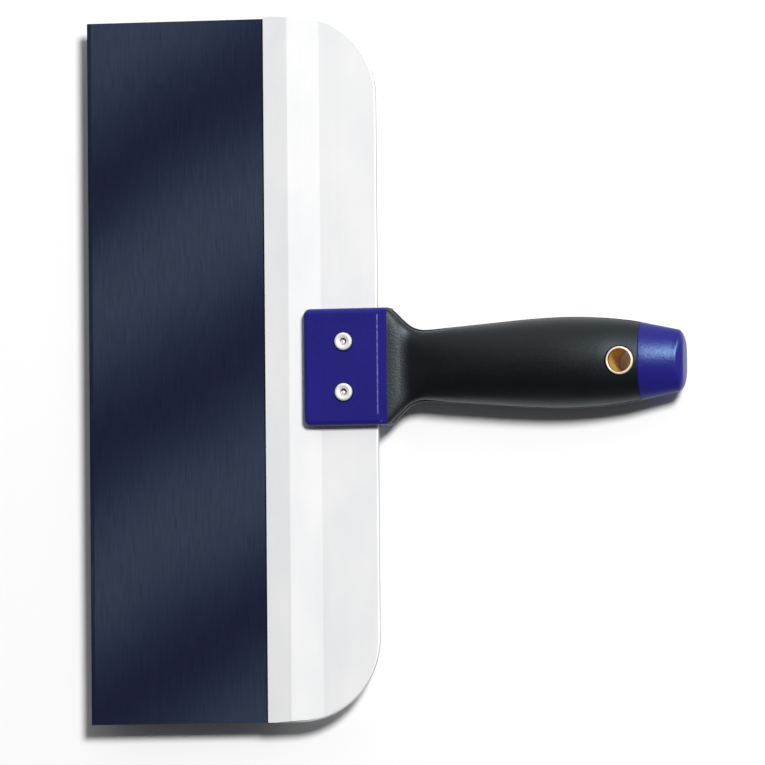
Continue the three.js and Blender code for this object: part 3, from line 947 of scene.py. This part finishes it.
def make_floor():
    mesh = bpy.data.meshes.new("studio_floor")
    grid = bmesh.new()
    bmesh.ops.create_grid(grid, x_segments=8, y_segments=8, size=FLOOR_HALF)
    grid.to_mesh(mesh)
    grid.free()
    floor = bpy.data.objects.new("studio_floor", mesh)
    bpy.context.scene.collection.objects.link(floor)
    recipe = Recipe("studio_floor", (0.92, 0.92, 0.92), 0.9)
    tone = recipe.noise((0.004, 0.004, 0.004))
    recipe.paint(recipe.ramp(tone, (0.2, 0.91), (0.8, 0.93)), 0.9)
    mesh.materials.append(recipe.material)


KEY_DIRECTION = (0.52, 0.42, 1.0)   # from the origin towards the lamp
KEY_DISTANCE = 4.0           # metres
KEY_SIZE = 0.95              # metres across
KEY_IRRADIANCE = 3.6         # on a surface that faces it
KEY_COLOUR = (1.0, 0.995, 0.99)
HORIZON = 0.15               # glow all round the horizon, fading to none overhead
WINDOW = 0.64                # a broad glow from one side
WINDOW_SIDE = (0.0, 1.0, 0.0)


def make_key():
    lamp = bpy.data.lights.new("key", "AREA")
    lamp.shape = "DISK"
    lamp.size = KEY_SIZE
    lamp.energy = KEY_IRRADIANCE * math.pi * KEY_DISTANCE ** 2
    lamp.color = KEY_COLOUR
    key = bpy.data.objects.new("key", lamp)
    towards = Vector(KEY_DIRECTION).normalized()
    key.rotation_euler = towards.to_track_quat("Z", "Y").to_euler()
    key.location = towards * KEY_DISTANCE
    bpy.context.scene.collection.objects.link(key)


def make_studio():
    """A room that is dark overhead, pale round the horizon and bright on one side."""
    world = bpy.data.worlds.new("studio")
    world.use_nodes = True
    nodes = world.node_tree.nodes
    links = world.node_tree.links
    around = nodes.new("ShaderNodeTexCoord").outputs["Generated"]
    split = nodes.new("ShaderNodeSeparateXYZ")
    links.new(around, split.inputs["Vector"])
    facing = nodes.new("ShaderNodeVectorMath")
    facing.operation = "DOT_PRODUCT"
    facing.inputs[1].default_value = WINDOW_SIDE
    links.new(around, facing.inputs[0])

    def maths(operation, *values):
        node = nodes.new("ShaderNodeMath")
        node.operation = operation
        for socket, value in zip(node.inputs, values):
            if isinstance(value, float):
                socket.default_value = value
            else:
                links.new(value, socket)
        return node.outputs["Value"]

    height = split.outputs["Z"]
    ring = maths("MULTIPLY_ADD", maths("MULTIPLY", height, height), -HORIZON, HORIZON)
    side = maths("MULTIPLY", maths("MAXIMUM", facing.outputs["Value"], 0.0), WINDOW)
    back = nodes["Background"]
    back.inputs["Color"].default_value = (0.96, 0.97, 1.0, 1.0)
    links.new(maths("ADD", ring, side), back.inputs["Strength"])
    bpy.context.scene.world = world


CAMERA_LEAN = 14.46          # degrees off upright
CAMERA_TURN = 12.03          # degrees that the lean is turned from +X towards -Y
CAMERA_ROLL = -0.48
CAMERA_DISTANCE = 5.208      # metres
CAMERA_LENS = 569.76         # millimetres, as is the sensor
CAMERA_SENSOR = 36.0
AIM = (130.78, -6.80, 0.0)   # millimetres from the knife's datum


def make_camera():
    lean = math.radians(CAMERA_LEAN)
    turn = math.radians(CAMERA_TURN)
    roll = math.radians(CAMERA_ROLL)
    back = Vector((math.cos(turn) * math.sin(lean), -math.sin(turn) * math.sin(lean),
                   math.cos(lean)))
    right = Vector((0, 1, 0)).cross(back).normalized()
    up = back.cross(right)
    right, up = (right * math.cos(roll) + up * math.sin(roll),
                 up * math.cos(roll) - right * math.sin(roll))
    lens = bpy.data.cameras.new("camera")
    lens.lens = CAMERA_LENS
    lens.sensor_width = CAMERA_SENSOR
    lens.clip_end = 50.0
    camera = bpy.data.objects.new("camera", lens)
    spot = Vector(to_frame(AIM)) + back * CAMERA_DISTANCE
    rows = [(right[i], up[i], back[i], spot[i]) for i in range(3)]
    camera.matrix_world = Matrix((*rows, (0.0, 0.0, 0.0, 1.0)))
    bpy.context.scene.collection.objects.link(camera)
    bpy.context.scene.camera = camera
    bpy.context.scene.view_settings.view_transform = "Standard"


make_blade()
make_bar()
make_core()
make_grip()
make_end_cap()
make_eyelet()
for rivet_number, rivet_y in ((1, RIVET_Y), (2, -RIVET_Y)):
    make_rivet(rivet_number, rivet_y)
    make_mandrel(rivet_number, rivet_y)
    make_washer(rivet_number, rivet_y)
make_floor()
make_key()
make_studio()
make_camera()
